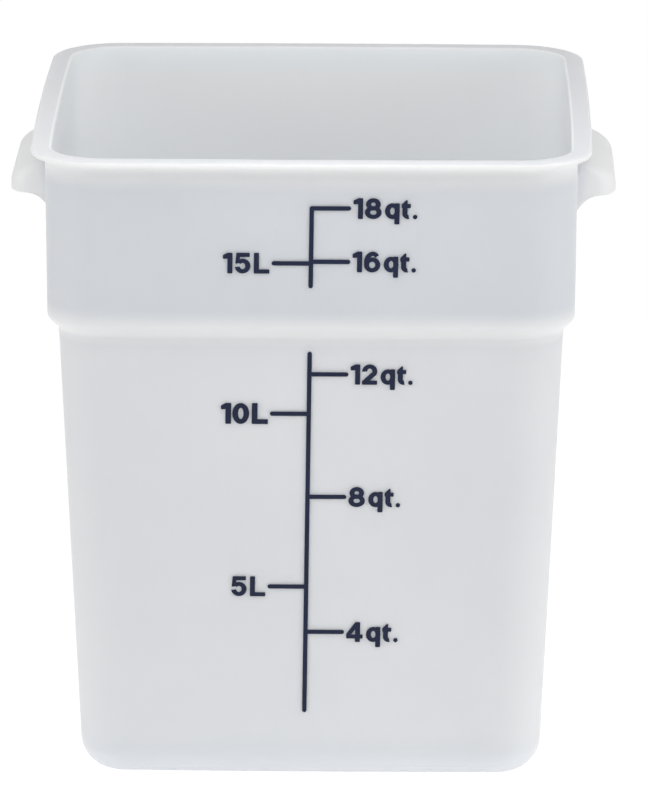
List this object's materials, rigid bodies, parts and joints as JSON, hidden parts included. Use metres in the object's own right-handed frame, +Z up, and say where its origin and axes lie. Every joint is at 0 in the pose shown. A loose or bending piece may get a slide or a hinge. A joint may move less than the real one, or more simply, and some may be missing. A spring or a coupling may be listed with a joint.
{
  "type": "square food storage container",
  "caption": "Open square food tub with a flat rim, a shouldered collar, tapered walls, hooded hand grips on opposite sides and a printed fill scale on the front.",
  "frame": {"origin": "middle of the base, on the surface that the container stands on", "axes": "+Z up, -Y towards the printed front wall, +X towards the right hand grip seen from the front"},
  "size_m": [0.3024, 0.277, 0.3215],
  "materials": {
    "polyethylene": "satin, slightly translucent, moulded",
    "printed_ink": "flat navy screen print"
  },
  "bodies": {
    "root": {"container_body": "polyethylene", "scale_line_upper": "printed_ink", "scale_line_lower": "printed_ink", "mark_18qt_1": "printed_ink", "mark_18qt_8": "printed_ink", "mark_18qt_q": "printed_ink", "mark_18qt_t": "printed_ink", "mark_18qt_stop": "printed_ink", "mark_16qt_1": "printed_ink", "mark_16qt_6": "printed_ink", "mark_16qt_q": "printed_ink", "mark_16qt_t": "printed_ink", "mark_16qt_stop": "printed_ink", "mark_15L_1": "printed_ink", "mark_15L_5": "printed_ink", "mark_15L_L": "printed_ink", "mark_12qt_1": "printed_ink", "mark_12qt_2": "printed_ink", "mark_12qt_q": "printed_ink", "mark_12qt_t": "printed_ink", "mark_12qt_stop": "printed_ink", "mark_10L_1": "printed_ink", "mark_10L_0": "printed_ink", "mark_10L_L": "printed_ink", "mark_8qt_8": "printed_ink", "mark_8qt_q": "printed_ink", "mark_8qt_t": "printed_ink", "mark_8qt_stop": "printed_ink", "mark_5L_5": "printed_ink", "mark_5L_L": "printed_ink", "mark_4qt_4": "printed_ink", "mark_4qt_q": "printed_ink", "mark_4qt_t": "printed_ink", "mark_4qt_stop": "printed_ink"}
  },
  "joints": []
}
